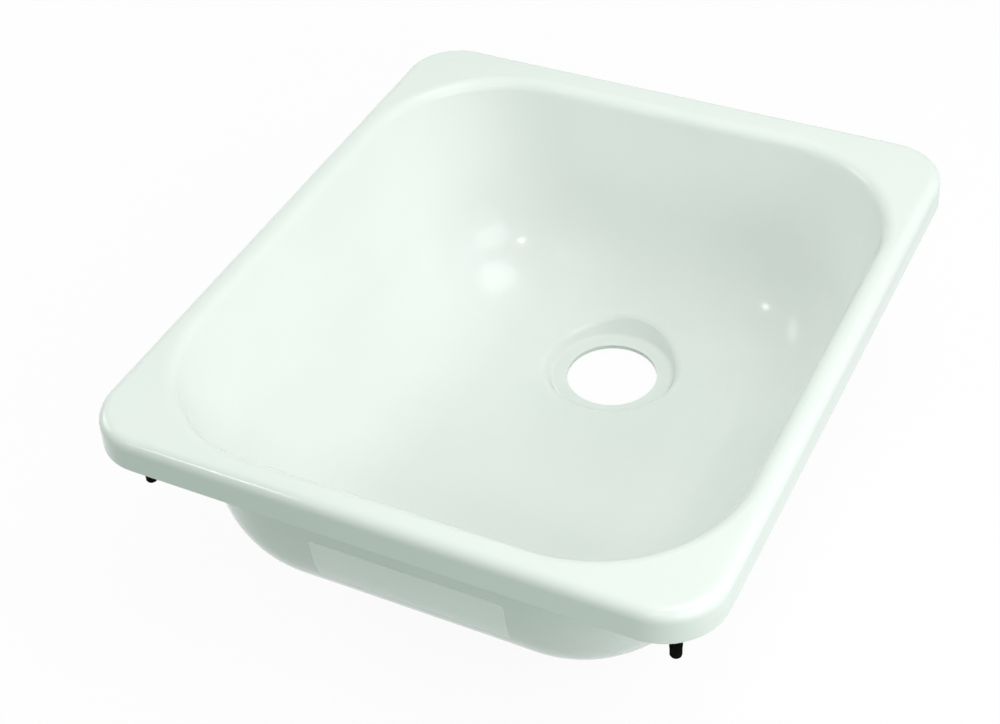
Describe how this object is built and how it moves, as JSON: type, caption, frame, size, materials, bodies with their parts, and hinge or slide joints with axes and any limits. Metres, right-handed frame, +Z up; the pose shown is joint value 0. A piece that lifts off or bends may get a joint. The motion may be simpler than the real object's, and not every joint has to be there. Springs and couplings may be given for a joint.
{
  "type": "drop-in sink",
  "caption": "White moulded drop-in galley sink: one deep rounded bowl under a rolled rim, a round drain hole at the back and corner hold-down studs with washers and wing nuts",
  "frame": {"origin": "under the centre of the rim, level with the underside of the drain seat, the sink's lowest face", "axes": "+Z up out of the bowl, +Y to the back where the drain is, +X to the right seen from the front"},
  "size_m": [0.3302, 0.381, 0.139],
  "materials": {
    "shell": "gloss white",
    "label": "blank satin film",
    "block": "natural moulded",
    "stud": "black steel",
    "zinc": "zinc plated"
  },
  "bodies": {
    "sink": {"sink_shell": "shell", "label": "label", "stud_block_front_left": "block", "stud_front_left": "stud", "stud_block_front_right": "block", "stud_front_right": "stud", "stud_block_back_left": "block", "stud_back_left": "stud", "stud_block_back_right": "block", "stud_back_right": "stud"},
    "washer_front_left": {"washer_front_left": "zinc"},
    "wing_nut_front_left": {"wing_nut_front_left": "zinc"},
    "washer_front_right": {"washer_front_right": "zinc"},
    "wing_nut_front_right": {"wing_nut_front_right": "zinc"},
    "washer_back_left": {"washer_back_left": "zinc"},
    "wing_nut_back_left": {"wing_nut_back_left": "zinc"},
    "washer_back_right": {"washer_back_right": "zinc"},
    "wing_nut_back_right": {"wing_nut_back_right": "zinc"}
  },
  "joints": [
    {"name": "washer_travel_front_left", "type": "slide", "parent": "sink", "child": "washer_front_left", "axis": [0, 0, -1], "range_m": [0, 0.0254]},
    {"name": "wing_nut_turn_front_left", "type": "hinge", "parent": "washer_front_left", "child": "wing_nut_front_left", "pos_m": [-0.143, -0.167, 0.1249], "axis": [0, 0, -1], "range_deg": [0, 7200]},
    {"name": "washer_travel_front_right", "type": "slide", "parent": "sink", "child": "washer_front_right", "axis": [0, 0, -1], "range_m": [0, 0.0254]},
    {"name": "wing_nut_turn_front_right", "type": "hinge", "parent": "washer_front_right", "child": "wing_nut_front_right", "pos_m": [0.143, -0.167, 0.1249], "axis": [0, 0, -1], "range_deg": [0, 7200]},
    {"name": "washer_travel_back_left", "type": "slide", "parent": "sink", "child": "washer_back_left", "axis": [0, 0, -1], "range_m": [0, 0.0254]},
    {"name": "wing_nut_turn_back_left", "type": "hinge", "parent": "washer_back_left", "child": "wing_nut_back_left", "pos_m": [-0.143, 0.167, 0.1249], "axis": [0, 0, -1], "range_deg": [0, 7200]},
    {"name": "washer_travel_back_right", "type": "slide", "parent": "sink", "child": "washer_back_right", "axis": [0, 0, -1], "range_m": [0, 0.0254]},
    {"name": "wing_nut_turn_back_right", "type": "hinge", "parent": "washer_back_right", "child": "wing_nut_back_right", "pos_m": [0.143, 0.167, 0.1249], "axis": [0, 0, -1], "range_deg": [0, 7200]}
  ],
  "couplings": [
    {"joint": "washer_travel_front_left", "follows": "wing_nut_turn_front_left", "m_per_rad": 0.00020213},
    {"joint": "washer_travel_front_right", "follows": "wing_nut_turn_front_right", "m_per_rad": 0.00020213},
    {"joint": "washer_travel_back_left", "follows": "wing_nut_turn_back_left", "m_per_rad": 0.00020213},
    {"joint": "washer_travel_back_right", "follows": "wing_nut_turn_back_right", "m_per_rad": 0.00020213}
  ]
}
